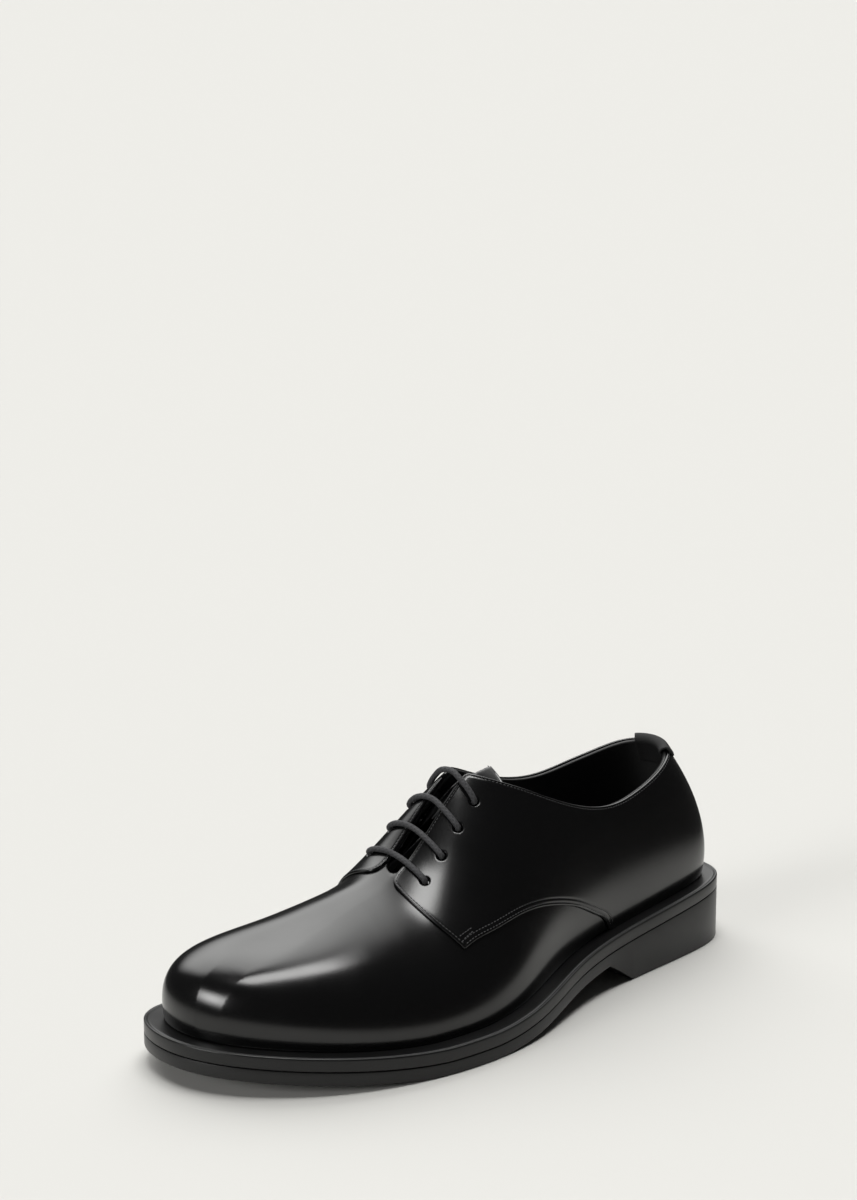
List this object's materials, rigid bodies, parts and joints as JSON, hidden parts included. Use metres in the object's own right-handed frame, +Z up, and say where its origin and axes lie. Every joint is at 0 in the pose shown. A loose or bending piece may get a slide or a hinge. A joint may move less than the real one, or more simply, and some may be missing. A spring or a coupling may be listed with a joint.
{
  "type": "derby shoe",
  "caption": "Black polished leather derby shoe for the left foot, with open-laced facings, a plain rounded-square toe, a projecting sole edge and a low heel.",
  "frame": {"origin": "middle of the shoe's box in plan, on the floor that it stands on", "axes": "+Z up, +Y from the toe to the heel, +X to the outer side of the foot"},
  "size_m": [0.1146, 0.303, 0.1077],
  "materials": {
    "upper_leather": "high polish",
    "lining_leather": "matt",
    "sole_edge": "satin",
    "lace_cord": "waxed",
    "tab_tape": "matt weave"
  },
  "bodies": {
    "root": {"outsole_heel": "sole_edge", "midsole_welt": "sole_edge", "insole": "lining_leather", "upper": "upper_leather", "tongue": "upper_leather", "lace": "lace_cord", "back_tab": "tab_tape"}
  },
  "joints": []
}
